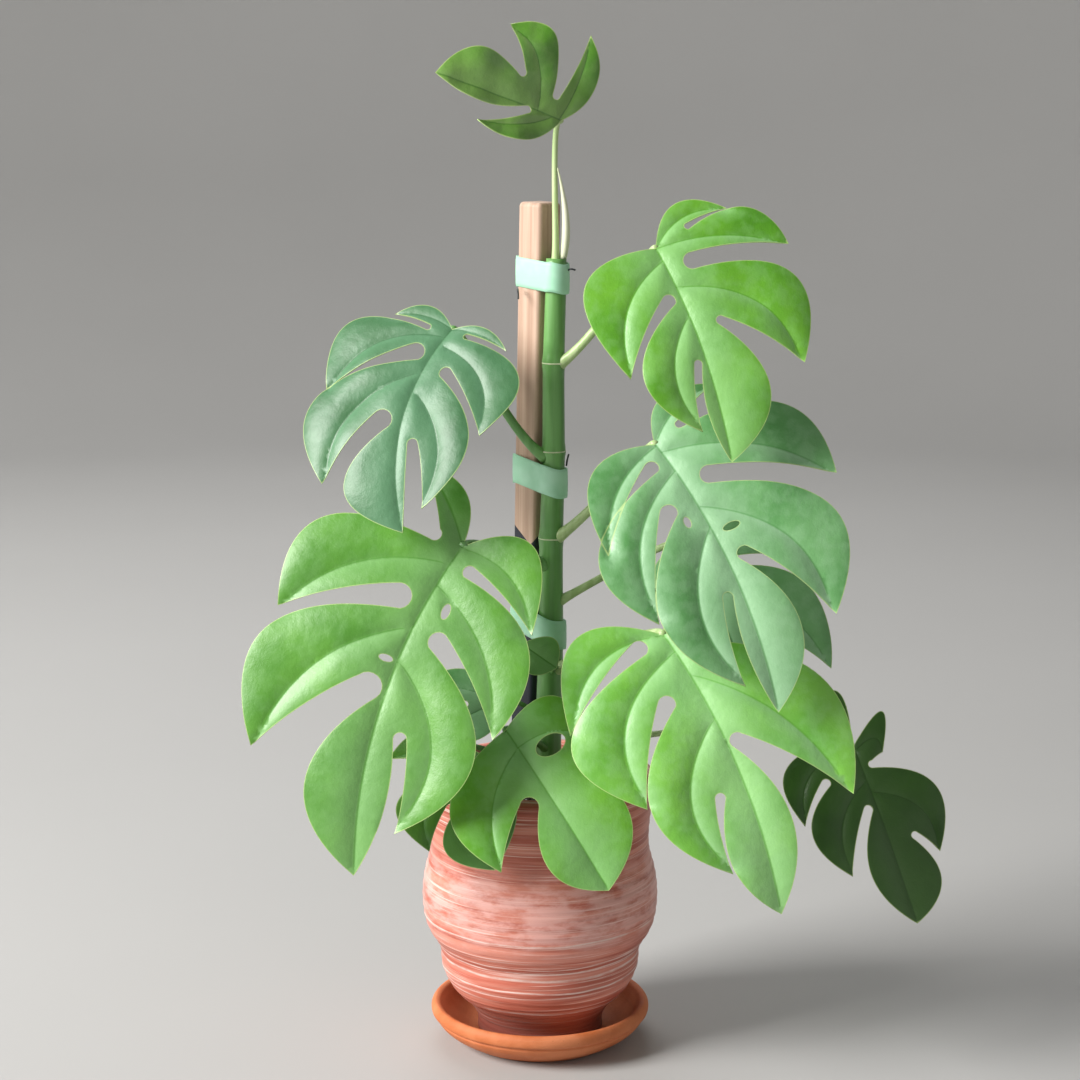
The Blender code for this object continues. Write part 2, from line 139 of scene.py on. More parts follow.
class Finish:
    """A material built round one Principled shader."""

    def __init__(self, name, **constants):
        self.material = bpy.data.materials.new(name)
        self.material.use_nodes = True
        self.tree = self.material.node_tree
        self.shader = self.tree.nodes["Principled BSDF"]
        for socket, value in constants.items():
            self.shader.inputs[socket.replace("_", " ").title()].default_value = value

    def node(self, kind, settings=None, inputs=None, out=0):
        made = self.tree.nodes.new(kind)
        for key, value in (settings or {}).items():
            if key == "stops":
                for element, (position, colour) in zip(made.color_ramp.elements, value):
                    element.position = position
                    element.color = colour
            else:
                setattr(made, key, value)
        for key, value in (inputs or {}).items():
            if isinstance(value, Val):
                self.tree.links.new(value.socket, made.inputs[key])
            elif isinstance(value, tuple) and made.inputs[key].type == "RGBA":
                made.inputs[key].default_value = (*value, 1.0)
            else:
                made.inputs[key].default_value = value
        return Val(self, made.outputs[out])

    def place(self, stretch=(1.0, 1.0, 1.0)):
        """Object coordinates, stretched, so that a pattern can run along one direction."""
        where = self.node("ShaderNodeTexCoord", out="Object")
        return self.node("ShaderNodeVectorMath", {"operation": "MULTIPLY"}, {0: where, 1: stretch})

    def axis(self, name):
        where = self.node("ShaderNodeTexCoord", out="Object")
        return self.node("ShaderNodeSeparateXYZ", inputs={0: where}, out=name)

    def attribute(self, name):
        return self.node("ShaderNodeAttribute", {"attribute_name": name}, out="Fac")

    def noise(self, where, scale, detail=2.0, rough=0.5):
        sockets = {"Vector": where, "Scale": scale, "Detail": detail, "Roughness": rough}
        return self.node("ShaderNodeTexNoise", inputs=sockets)

    def step(self, value, low, high, start=0.0, end=1.0):
        """A smooth ramp from start to end as the value goes from low to high."""
        sockets = {"Value": value, "From Min": low, "From Max": high, "To Min": start, "To Max": end}
        return self.node("ShaderNodeMapRange", {"interpolation_type": "SMOOTHSTEP"}, sockets)

    def mix(self, factor, first, second):
        return self.node("ShaderNodeMix", {"data_type": "RGBA"}, {0: factor, 6: first, 7: second}, out=2)

    def bump(self, height, distance, strength=1.0):
        return self.node("ShaderNodeBump", inputs={"Height": height, "Distance": distance, "Strength": strength})

    def set(self, **sockets):
        for socket, value in sockets.items():
            self.tree.links.new(value.socket, self.shader.inputs[socket.replace("_", " ").title()])
        return self.material


# %% [markdown]
# ## Leaf finish
# A living leaf is waxy, not shiny: a soft sheen over a colour that wanders between two greens. Each blade
# carries its own distances to the margin, to the side veins and to the midrib, so the pale margin and the
# fine vein lines follow the leaf's own shape. The vein lines are darkened partly as painted shade in their
# creases, and the tip side of each vein carries a painted sheen in the pale centre colour.


# %% Leaf materials
def leaf_finish(name, light, deep, centre, roughness, coat=0.12):
    f = Finish(name, roughness=roughness, coat_roughness=0.30, coat_weight=coat)
    where = f.place()
    mottle = f.noise(where, 34.0, 3.0)
    speck = f.noise(where, 520.0, 2.0)
    skin = f.mix(f.step(mottle, 0.22, 0.80), light, deep)
    skin = f.mix(f.step(f.attribute("rib"), 0.0, 0.026, 0.62, 0.0), skin, centre)
    skin = f.mix(f.step(speck, 0.60, 0.78, 0.0, 0.16), skin, deep)
    skin = f.mix(f.step(f.noise(where, 150.0, 3.0), 0.38, 0.66, 0.0, 0.22), skin, centre)
    # Thin darker lines along the side veins and the midrib: partly the veins' own green, partly painted shade in their
    # creases.
    skin = f.mix(f.step(f.attribute("vein"), 0.0001, 0.0006, 0.55, 0.0), skin, deep)
    skin = f.mix(f.step(f.attribute("rib"), 0.0001, 0.0008, 0.60, 0.0), skin, deep)
    # Painted sheen: the tip side of each vein crease is lightened toward the centre colour, as a painted highlight on
    # the lit half of each fold. The centre colour is also the leaf's real pale middle.
    skin = f.mix(f.attribute("sheen") * f.step(mottle, 0.25, 0.6, 0.45, 0.90), skin, centre)
    underside = f.mix(f.step(mottle, 0.3, 0.7), (0.17, 0.34, 0.12), (0.24, 0.42, 0.18))
    skin = f.mix(f.attribute("under"), skin, underside)
    skin = f.mix(f.step(f.attribute("margin"), 0.00012, 0.00050, 0.60, 0.0), skin, (0.50, 0.64, 0.24))
    satin = roughness + 0.16 * f.noise(where, 70.0) + 0.14 * f.attribute("under") - 0.08
    relief = f.noise(where, 260.0, 3.0) + 0.25 * f.noise(where, 1500.0)
    return f.set(base_color=skin, roughness=satin, normal=f.bump(relief, 0.0005, 0.50))


LEAF_BRIGHT = leaf_finish("leaf_bright", (0.118, 0.335, 0.036), (0.058, 0.220, 0.017), (0.200, 0.420, 0.140), 0.44)
# Painted light: a lighter copy of the leaf_bright greens, so the lower right leaf looks more brightly lit.
LEAF_PAINTED_LIGHT = leaf_finish("leaf_painted_light", (0.210, 0.530, 0.065), (0.105, 0.350, 0.035), (0.320, 0.600, 0.260), 0.44)
LEAF_RICH = leaf_finish("leaf_rich", (0.150, 0.420, 0.025), (0.075, 0.280, 0.012), (0.270, 0.550, 0.200), 0.42)
LEAF_BLUE = leaf_finish("leaf_blue_green", (0.170, 0.400, 0.150), (0.080, 0.270, 0.070), (0.340, 0.580, 0.340), 0.44)
LEAF_SEA = leaf_finish("leaf_sea_green", (0.062, 0.182, 0.070), (0.030, 0.122, 0.038), (0.112, 0.265, 0.138), 0.46)
LEAF_DARK = leaf_finish("leaf_dark", (0.095, 0.270, 0.018), (0.050, 0.170, 0.012), (0.090, 0.230, 0.060), 0.42)
# Painted shade: a darker copy of the leaf greens for the far right leaf, which sits in shadow.
LEAF_PAINTED_SHADE = leaf_finish("leaf_painted_shade", (0.037, 0.120, 0.009), (0.018, 0.068, 0.004), (0.050, 0.125, 0.025), 0.40)
LEAF_NEW = leaf_finish("leaf_new_glossy", (0.110, 0.320, 0.015), (0.030, 0.130, 0.005), (0.200, 0.350, 0.090), 0.22, coat=0.6)
print("leaf finishes ready")


# %% Stem, sheath and tape materials
def stem_finish():
    f = Finish("stem_green", coat_weight=0.25, coat_roughness=0.25)
    grain = f.noise(f.place((240.0, 240.0, 14.0)), 1.0, 4.0)
    patch = f.noise(f.place(), 60.0, 2.0)
    skin = f.mix(f.step(grain, 0.35, 0.70), (0.100, 0.260, 0.060), (0.165, 0.380, 0.110))
    skin = f.mix(f.step(patch, 0.55, 0.75, 0.0, 0.45), skin, (0.190, 0.400, 0.160))
    return f.set(base_color=skin, roughness=f.step(grain, 0.3, 0.7, 0.30, 0.44), normal=f.bump(grain, 0.0002, 0.4))


def pale_finish(name, first, second, roughness):
    f = Finish(name)
    grain = f.noise(f.place((300.0, 300.0, 24.0)), 1.0, 3.0)
    skin = f.mix(f.step(grain, 0.35, 0.65), first, second)
    rough = f.step(grain, 0.3, 0.7, roughness - 0.06, roughness + 0.06)
    return f.set(base_color=skin, roughness=rough, normal=f.bump(grain, 0.0002, 0.4))


def tape_finish():
    f = Finish("mint_tape")
    grain = f.noise(f.place((60.0, 60.0, 900.0)), 1.0, 2.0)
    cloud = f.noise(f.place(), 90.0, 2.0)
    skin = f.mix(f.step(cloud, 0.35, 0.7), (0.37, 0.70, 0.48), (0.47, 0.78, 0.58))
    return f.set(base_color=skin, roughness=f.step(grain, 0.3, 0.7, 0.46, 0.60), normal=f.bump(grain, 0.00015, 0.5))


STEM = stem_finish()
STALK_PALE = pale_finish("stalk_pale", (0.36, 0.50, 0.20), (0.47, 0.60, 0.29), 0.40)
SHEATH = pale_finish("sheath_papery", (0.58, 0.62, 0.40), (0.74, 0.74, 0.56), 0.55)
NODE_RING = pale_finish("node_ring_pale", (0.50, 0.58, 0.34), (0.66, 0.70, 0.48), 0.60)
TIE_WIRE = pale_finish("tie_dark", (0.020, 0.024, 0.026), (0.035, 0.040, 0.042), 0.50)
TAPE = tape_finish()


# %% [markdown]
# ## Clay, wood and soil finishes
# The pot is two clays thrown together: the wheel drew the pale clay out into level streaks. Noise that is
# stretched round the pot and squeezed in height makes them, and a few strong pale lines sit at the waist.
# The stake is plain wood whose lower end was dipped dark, with a pointed edge to the dip.


# %% Clay
STREAKS = ((0.0660, 0.0004), (0.0520, 0.0003), (0.0495, 0.0004), (0.0455, 0.0007), (0.0390, 0.0004),
           (0.0260, 0.0004), (0.0190, 0.0003))
FOOT_PAINTED_SHADE_Z = 0.030


def marbled_clay():
    f = Finish("marbled_clay")
    height = f.axis("Z")
    wander = f.noise(f.place(), 26.0, 2.0)
    fine = f.noise(f.place((14.0, 14.0, 1100.0)), 1.0, 3.0, 0.62)
    broad = f.noise(f.place((11.0, 11.0, 260.0)), 1.0, 3.0, 0.55)
    mottle = f.noise(f.place((60.0, 60.0, 170.0)), 1.0, 4.0, 0.65)
    skin = f.mix(f.step(broad, 0.36, 0.64), (0.46, 0.100, 0.058), (0.68, 0.245, 0.175))
    skin = f.mix(f.step(fine, 0.54, 0.70, 0.0, 0.80), skin, (0.87, 0.62, 0.55))
    skin = f.mix(f.step(fine, 0.30, 0.44, 0.35, 0.0), skin, (0.23, 0.050, 0.028))
    belly = f.step(abs(height - 0.080), 0.008, 0.026, 0.62, 0.0)
    skin = f.mix(belly * f.step(mottle, 0.34, 0.62), skin, (0.86, 0.51, 0.465))
    for level, width in STREAKS:
        off = abs(height + 0.0030 * wander - 0.0015 - level)
        line = f.step(off, width * 0.3, width * 1.5, 0.85, 0.0)
        skin = f.mix(line * f.step(mottle, 0.30, 0.62, 0.15, 1.0), skin, (0.80, 0.62, 0.56))
    # Painted shade: the pot's foot darkens toward the bottom, standing in for the shadow of the saucer's rim.
    skin = f.mix(f.step(height, 0.010, FOOT_PAINTED_SHADE_Z, 0.80, 0.0), skin, (0.13, 0.035, 0.028))
    rough = f.step(fine, 0.3, 0.7, 0.36, 0.52)
    return f.set(base_color=skin, roughness=rough, normal=f.bump(fine + 0.6 * mottle, 0.0004, 0.6))


def orange_clay():
    f = Finish("orange_clay")
    cloud = f.noise(f.place(), 55.0, 4.0)
    rings = f.noise(f.place((10.0, 10.0, 700.0)), 1.0, 2.0)
    grit = f.noise(f.place(), 900.0, 2.0)
    skin = f.mix(f.step(cloud, 0.33, 0.68), (0.52, 0.135, 0.035), (0.65, 0.215, 0.085))
    skin = f.mix(f.step(rings, 0.56, 0.72, 0.0, 0.30), skin, (0.58, 0.22, 0.10))
    skin = f.mix(f.step(grit, 0.66, 0.76, 0.0, 0.35), skin, (0.34, 0.085, 0.025))
    return f.set(base_color=skin, roughness=f.step(cloud, 0.3, 0.7, 0.62, 0.78),
                 normal=f.bump(0.5 * rings + grit, 0.0003, 0.45))


# %% Wood and soil
DIP_POINT = (-0.0048, 0.2482)
DIP_SLOPE = 1.14


def stake_wood():
    f = Finish("stake_wood")
    grain = f.noise(f.place((420.0, 420.0, 9.0)), 1.0, 4.0, 0.6)
    bands = f.noise(f.place((70.0, 70.0, 5.0)), 1.0, 2.0)
    skin = f.mix(f.step(grain, 0.30, 0.72), (0.44, 0.275, 0.195), (0.59, 0.415, 0.310))
    skin = f.mix(f.step(bands, 0.55, 0.75, 0.0, 0.4), skin, (0.42, 0.250, 0.165))
    edge = DIP_POINT[1] + DIP_SLOPE * abs(f.axis("X") - DIP_POINT[0]) + 0.001 * bands
    skin = f.mix(f.axis("Z").below(edge), skin, (0.012, 0.016, 0.026))
    return f.set(base_color=skin, roughness=f.step(grain, 0.3, 0.7, 0.50, 0.64), normal=f.bump(grain, 0.0003, 0.5))


def crumb_finish(name, first, second):
    f = Finish(name)
    cloud = f.noise(f.place(), 180.0, 4.0)
    skin = f.mix(f.step(cloud, 0.35, 0.7), first, second)
    return f.set(base_color=skin, roughness=f.step(cloud, 0.3, 0.7, 0.85, 0.97), normal=f.bump(cloud, 0.0008, 0.8))


CLAY_MARBLED = marbled_clay()
CLAY_ORANGE = orange_clay()
WOOD = stake_wood()
SOIL_DARK = crumb_finish("soil_dark", (0.018, 0.011, 0.008), (0.055, 0.034, 0.022))
PERLITE = crumb_finish("perlite_pale", (0.52, 0.50, 0.46), (0.70, 0.68, 0.64))
print("materials:", len(bpy.data.materials))

# %% [markdown]
# ## Helpers for shapes
# Each piece ends as a plain mesh at the origin. `finish_piece` gives it its material, rides it on the one
# body and hides the frame's parts that it stands in for.


# %% Shape helpers
def blend(a, b, t):
    return a + (b - a) * t


def finish_piece(obj, material, slot, *nodes):
    obj.data.materials.clear()
    obj.data.materials.append(material)
    obj.data.shade_smooth()
    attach(obj, "root")
    if nodes:
        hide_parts(*nodes)
    return obj


def add_mesh(name, verts, faces):
    mesh = bpy.data.meshes.new(name)
    mesh.from_pydata([tuple(v) for v in verts], [], faces)
    obj = bpy.data.objects.new(name, mesh)
    scene.collection.objects.link(obj)
    return obj


def made_plain(obj, weld=0.0):
    """The object's evaluated shape as a plain mesh object of the same name."""
    bpy.context.view_layer.update()
    deps = bpy.context.evaluated_depsgraph_get()
    mesh = bpy.data.meshes.new_from_object(obj.evaluated_get(deps))
    name = obj.name
    bpy.data.objects.remove(obj, do_unlink=True)
    plain = bpy.data.objects.new(name, mesh)
    scene.collection.objects.link(plain)
    if weld:
        work = bmesh.new()
        work.from_mesh(mesh)
        bmesh.ops.remove_doubles(work, verts=work.verts[:], dist=weld)
        bmesh.ops.recalc_face_normals(work, faces=work.faces[:])
        work.to_mesh(mesh)
        work.free()
    return plain


def smooth_line(points, steps):
    """A curve through the points, whose speed follows their spacing, so that it doesn't overshoot."""
    sizes = [(b - a).length for a, b in zip(points, points[1:])]
    ways = [(b - a) / size for a, b, size in zip(points, points[1:], sizes)]
    pairs = zip(ways, ways[1:], sizes, sizes[1:])
    turns = [ways[0]] + [(w1 * s0 + w0 * s1) / (s0 + s1) for w0, w1, s0, s1 in pairs] + [ways[-1]]
    line = []
    for a, b, size, leave, arrive in zip(points, points[1:], sizes, turns, turns[1:]):
        for t in (k / steps for k in range(steps)):
            line.append(a * (2 * t ** 3 - 3 * t ** 2 + 1) + b * (3 * t ** 2 - 2 * t ** 3)
                        + size * (leave * (t ** 3 - 2 * t ** 2 + t) + arrive * (t ** 3 - t ** 2)))
    return line + [points[-1]]


def tube(name, points, radii, sides=5):
    curve = bpy.data.curves.new(name, "CURVE")
    curve.dimensions = "3D"
    curve.bevel_depth = 1.0
    curve.bevel_resolution = sides
    curve.use_fill_caps = True
    spline = curve.splines.new("POLY")
    spline.points.add(len(points) - 1)
    for slot, point, radius in zip(spline.points, points, radii):
        slot.co = (*point, 1.0)
        slot.radius = radius
    obj = bpy.data.objects.new(name, curve)
    scene.collection.objects.link(obj)
    return made_plain(obj, weld=0.00001)


def turned(name, profile, closed, steps=128):
    """A profile spun round the pot's axis. An open profile starts and ends on the axis."""
    count = len(profile)
    edges = [(i, i + 1) for i in range(count - 1)]
    if closed:
        edges.append((count - 1, 0))
    mesh = bpy.data.meshes.new(name)
    mesh.from_pydata([(p.x, 0.0, p.y) for p in profile], edges, [])
    obj = bpy.data.objects.new(name, mesh)
    scene.collection.objects.link(obj)
    screw = obj.modifiers.new("turn", "SCREW")
    screw.steps = steps
    screw.render_steps = steps
    screw.use_merge_vertices = True
    screw.merge_threshold = 0.00001
    return made_plain(obj, weld=0.00001)


# %% [markdown]
# ## Pot and saucer
# Both were made on a wheel, so both are profiles spun round an axis. Fingers leave shallow level ridges,
# which a small ripple on the pot's outer side gives. The saucer was pressed in a mould and has only the
# groove under its rolled rim.

# %% Pot
POT_RIM_Z = 137.0 * MM
FOOT_Z = 5.3 * MM
POT_OUTSIDE = [(53.5, 137), (55.5, 135), (55.2, 125), (54, 97), (57, 85), (58, 73), (56, 60), (49.5, 48),
               (48.5, 38), (43, 27), (35, 19), (31, 11), (31, 5.3)]
POT_FLOOR = [(5, 5.3), (5, 12)]
POT_INSIDE = [(27, 13), (38, 29), (43.5, 40), (44.5, 50), (51, 62), (53, 73), (49, 97), (50.5, 125),
              (50.5, 136)]
RIDGE_PITCH = 4.6 * MM
RIDGE_DEPTH = 0.16 * MM


def sized(points):
    return [Vector(point) * MM for point in points]


outside = smooth_line(sized(POT_OUTSIDE), 12)
for point in outside:
    fade = min(1.0, (POT_RIM_Z - point.y) / (12 * MM), (point.y - FOOT_Z) / (12 * MM))
    uneven = noise.noise(Vector((0.0, 0.0, point.y * 90.0)))
    point.x += RIDGE_DEPTH * max(fade, 0.0) * (math.sin(2 * math.pi * point.y / RIDGE_PITCH) + uneven - 1.0)
pot_line = outside + sized(POT_FLOOR) + smooth_line(sized(POT_INSIDE), 6)
pot = finish_piece(turned("pot_turned", pot_line, closed=True), CLAY_MARBLED, "pot", "pot")

# %% Saucer
SAUCER_LINE = [(0, 5), (38, 5), (45, 11), (48.5, 16.5), (50, 18.5), (52, 19), (53.6, 17.4), (54, 15.2),
               (53.4, 13.3), (52.1, 12.6), (51.4, 12.0), (51.6, 11.2), (50.8, 9.6), (48, 6.6), (44, 3.8),
               (39.5, 1.2), (37.6, 0.2), (37, 0), (0, 0)]
saucer_line = smooth_line(sized(SAUCER_LINE), 7)
for point in saucer_line:
    point.y = max(point.y, 0.0)
saucer = finish_piece(turned("saucer_pressed", saucer_line, closed=False), CLAY_ORANGE, "saucer", "saucer")
print("pot and saucer:", len(pot.data.polygons), len(saucer.data.polygons), "faces")

# %% [markdown]
# ## Soil
# Potting mix is a lumpy bed with loose crumbs and a few pale perlite grains. The bed is a turned solid
# whose top is pushed about by noise. The crumbs are small stones scattered over it, and what repeats
# hundreds of times belongs to Geometry Nodes.

# %% Soil bed
SOIL_Z = 124.0 * MM
SOIL_SIDE = [(49.6, 122), (48.4, 97), (52.2, 73), (43.8, 51), (42.7, 40), (26, 13.9), (0, 12.9)]
bed_line = [Vector((49.0 * MM * i / 24, SOIL_Z - 1.5 * MM)) for i in range(25)] + smooth_line(sized(SOIL_SIDE), 4)
bed = turned("soil_bed", bed_line, closed=False, steps=72)
for vert in bed.data.vertices:
    if vert.co.z > SOIL_Z - 1.8 * MM:
        vert.co.z += 0.9 * MM * noise.fractal(vert.co * 120.0, 1.0, 2.0, 3)
finish_piece(bed, SOIL_DARK, "soil", "soil")


# %% Crumbs scattered by Geometry Nodes
def scatter_tree():
    """Grains scattered over the faces of a mesh: inputs for density, size, seed and material."""
    tree = bpy.data.node_groups.new("scatter_grains", "GeometryNodeTree")
    face = tree.interface
    face.new_socket("Bed", in_out="INPUT", socket_type="NodeSocketGeometry")
    for name, kind, value in (("Grains per m2", "NodeSocketFloat", 100000.0), ("Grain size", "NodeSocketFloat", 0.001),
                              ("Seed", "NodeSocketInt", 1)):
        face.new_socket(name, in_out="INPUT", socket_type=kind).default_value = value
    face.new_socket("Finish", in_out="INPUT", socket_type="NodeSocketMaterial")
    face.new_socket("Grains", in_out="OUTPUT", socket_type="NodeSocketGeometry")

    def add(kind, **settings):
        made = tree.nodes.new(kind)
        for key, value in settings.items():
            setattr(made, key, value)
        return made

    given = add("NodeGroupInput")
    points = add("GeometryNodeDistributePointsOnFaces")
    grain = add("GeometryNodeMeshIcoSphere")
    grain.inputs["Radius"].default_value = 1.0
    grain.inputs["Subdivisions"].default_value = 1
    size = add("FunctionNodeRandomValue", data_type="FLOAT_VECTOR")
    size.inputs["Min"].default_value = (0.5, 0.4, 0.35)
    size.inputs["Max"].default_value = (1.5, 1.2, 0.9)
    scaled = add("ShaderNodeVectorMath", operation="SCALE")
    turn = add("FunctionNodeRandomValue", data_type="FLOAT_VECTOR")
    turn.inputs["Max"].default_value = (6.283, 6.283, 6.283)
    instance = add("GeometryNodeInstanceOnPoints")
    real = add("GeometryNodeRealizeInstances")
    paint = add("GeometryNodeSetMaterial")
    result = add("NodeGroupOutput")
    for source, target in ((given.outputs["Bed"], points.inputs["Mesh"]),
                           (given.outputs["Grains per m2"], points.inputs["Density"]),
                           (given.outputs["Seed"], points.inputs["Seed"]),
                           (size.outputs["Value"], scaled.inputs[0]),
                           (given.outputs["Grain size"], scaled.inputs["Scale"]),
                           (points.outputs["Points"], instance.inputs["Points"]),
                           (grain.outputs["Mesh"], instance.inputs["Instance"]),
                           (scaled.outputs["Vector"], instance.inputs["Scale"]),
                           (turn.outputs["Value"], instance.inputs["Rotation"]),
                           (instance.outputs["Instances"], real.inputs["Geometry"]),
                           (real.outputs["Geometry"], paint.inputs["Geometry"]),
                           (given.outputs["Finish"], paint.inputs["Material"]),
                           (paint.outputs["Geometry"], result.inputs["Grains"])):
        tree.links.new(source, target)
    return tree


def run_tree(obj, tree, **values):
    """Runs a tree on the object with inputs given by name, and returns the plain result."""
    modifier = obj.modifiers.new("nodes", "NODES")
    modifier.node_group = tree
    for item in tree.interface.items_tree:
        if item.in_out == "INPUT" and item.name in values:
            modifier[item.identifier] = values[item.name]
    return made_plain(obj)


def soil_top(name):
    rings, spokes, reach = 6, 40, 46.0 * MM
    verts = [Vector((0.0, 0.0, SOIL_Z - 0.6 * MM))]
    verts += [Vector((reach * r / rings * math.cos(2 * math.pi * s / spokes),
                      reach * r / rings * math.sin(2 * math.pi * s / spokes), SOIL_Z - 0.6 * MM))
              for r in range(1, rings + 1) for s in range(spokes)]
    faces = [(0, 1 + s, 1 + (s + 1) % spokes) for s in range(spokes)]
    for r in range(rings - 1):
        a, b = 1 + r * spokes, 1 + (r + 1) * spokes
        faces += [(a + s, b + s, b + (s + 1) % spokes, a + (s + 1) % spokes) for s in range(spokes)]
    return add_mesh(name, verts, faces)


SCATTER = scatter_tree()
for name, count, size, seed, finish in (("soil_crumbs", 150000.0, 1.15 * MM, 3, SOIL_DARK),
                                        ("soil_perlite", 7000.0, 1.25 * MM, 11, PERLITE)):
    values = {"Grains per m2": count, "Grain size": size, "Seed": seed, "Finish": finish}
    grains = finish_piece(run_tree(soil_top(name), SCATTER, **values), finish, "soil")
    print(name, len(grains.data.polygons), "faces")

# %% [markdown]
# ## Stake, stem and ties
# The stake is a square bar set with one corner to the front, leaning by about a degree. The stem stands
# against it. A taut tape takes the shortest way round both, which is the hull of the stake's corners and
# the stem's circle, so the loop is worked out from those.

# %% Sizes of the stake and the stem
STAKE_SIDE = 14.8 * MM
STAKE_Y = 8.0 * MM
STAKE_FOOT = (-6.5 * MM, 30.0 * MM)
STAKE_TOP = (0.0, 412.0 * MM)
STEM_FOOT = (3.5 * MM, -7.0 * MM, 96.0 * MM)
STEM_TOP = (7.4 * MM, -3.6 * MM, 386.0 * MM)
STEM_FOOT_R = 7.1 * MM
STEM_TOP_R = 5.2 * MM
STRAP_H = 14.0 * MM
STRAPS = ((378 * MM, -0.10), (282 * MM, -0.20), (209 * MM, -0.28))
NODE_HEIGHTS = (0.337, 0.295, 0.253, 0.189)


def stem_at(z):
    t = (z - STEM_FOOT[2]) / (STEM_TOP[2] - STEM_FOOT[2])
    centre = Vector((blend(STEM_FOOT[0], STEM_TOP[0], t), blend(STEM_FOOT[1], STEM_TOP[1], t), z))
    return centre, blend(STEM_FOOT_R, STEM_TOP_R, t)


def stake_x(z):
    t = (z - STAKE_FOOT[1]) / (STAKE_TOP[1] - STAKE_FOOT[1])
    return blend(STAKE_FOOT[0], STAKE_TOP[0], t)


# %% Stake
bpy.ops.mesh.primitive_cube_add(size=1.0)
stake = bpy.context.object
stake.name = "stake_bar"
stake_length = STAKE_TOP[1] - STAKE_FOOT[1] - 0.2 * MM
lean = math.atan2(STAKE_TOP[0] - STAKE_FOOT[0], STAKE_TOP[1] - STAKE_FOOT[1])
shape = Matrix.Translation((0, 0, stake_length / 2)) @ Matrix.Diagonal((STAKE_SIDE, STAKE_SIDE, stake_length, 1.0))
turn = Matrix.Rotation(lean, 4, "Y") @ Matrix.Rotation(math.pi / 4, 4, "Z")
stake.data.transform(Matrix.Translation((STAKE_FOOT[0], STAKE_Y, STAKE_FOOT[1])) @ turn @ shape)
rounding = stake.modifiers.new("rounded", "BEVEL")
rounding.width = 2.2 * MM
rounding.segments = 6
stake = finish_piece(made_plain(stake), WOOD, "stake", "stake")
for face in stake.data.polygons:
    face.use_smooth = face.area < 0.5 * STAKE_SIDE ** 2 and abs(face.normal.z) < 0.9999

# %% Stem
heights = [blend(STEM_FOOT[2], STEM_TOP[2], i / 120) for i in range(121)]
stem_points, stem_radii = [], []
for z in heights:
    centre, radius = stem_at(z)
    near = min(abs(z - level) for level in NODE_HEIGHTS)
    swell = 0.55 * MM * math.exp(-(near / (2.6 * MM)) ** 2)
    centre.x += 0.25 * MM * math.sin(z * 70.0)
    stem_points.append(centre)
    stem_radii.append(radius + swell - 0.35 * MM)
stem = finish_piece(tube("stem_main", stem_points, stem_radii, 10), STEM, "stem", "main_stem")


# %% Node rings by Geometry Nodes
def ring_tree():
    """A thin ring at each point of a mesh, as wide as the point's own radius attribute."""
    tree = bpy.data.node_groups.new("node_rings", "GeometryNodeTree")
    face = tree.interface
    face.new_socket("Marks", in_out="INPUT", socket_type="NodeSocketGeometry")
    face.new_socket("Ring thickness", in_out="INPUT", socket_type="NodeSocketFloat").default_value = 0.0004
    face.new_socket("Finish", in_out="INPUT", socket_type="NodeSocketMaterial")
    face.new_socket("Rings", in_out="OUTPUT", socket_type="NodeSocketGeometry")
    given = tree.nodes.new("NodeGroupInput")
    circle = tree.nodes.new("GeometryNodeCurvePrimitiveCircle")
    circle.inputs["Resolution"].default_value = 40
    circle.inputs["Radius"].default_value = 1.0
    wide = tree.nodes.new("GeometryNodeInputNamedAttribute")
    wide.data_type = "FLOAT"
    wide.inputs["Name"].default_value = "ring_radius"
    instance = tree.nodes.new("GeometryNodeInstanceOnPoints")
    real = tree.nodes.new("GeometryNodeRealizeInstances")
    section = tree.nodes.new("GeometryNodeCurvePrimitiveCircle")
    section.inputs["Resolution"].default_value = 8
    sweep = tree.nodes.new("GeometryNodeCurveToMesh")
    paint = tree.nodes.new("GeometryNodeSetMaterial")
    result = tree.nodes.new("NodeGroupOutput")
    for source, target in ((given.outputs["Marks"], instance.inputs["Points"]),
                           (circle.outputs["Curve"], instance.inputs["Instance"]),
                           (wide.outputs["Attribute"], instance.inputs["Scale"]),
                           (instance.outputs["Instances"], real.inputs["Geometry"]),
                           (real.outputs["Geometry"], sweep.inputs["Curve"]),
                           (given.outputs["Ring thickness"], section.inputs["Radius"]),
                           (section.outputs["Curve"], sweep.inputs["Profile Curve"]),
                           (sweep.outputs["Mesh"], paint.inputs["Geometry"]),
                           (given.outputs["Finish"], paint.inputs["Material"]),
                           (paint.outputs["Geometry"], result.inputs["Rings"])):
        tree.links.new(source, target)
    return tree


marks = [stem_at(z) for z in NODE_HEIGHTS]
rings = add_mesh("node_rings", [centre for centre, _ in marks], [])
widths = rings.data.attributes.new("ring_radius", "FLOAT", "POINT")
for item, (_, radius) in zip(widths.data, marks):
    item.value = radius + 0.10 * MM
rings = run_tree(rings, ring_tree(), **{"Ring thickness": 0.35 * MM, "Finish": NODE_RING})
finish_piece(rings, NODE_RING, "stem")
print("stem", len(stem.data.polygons), "rings", len(rings.data.polygons), "faces")


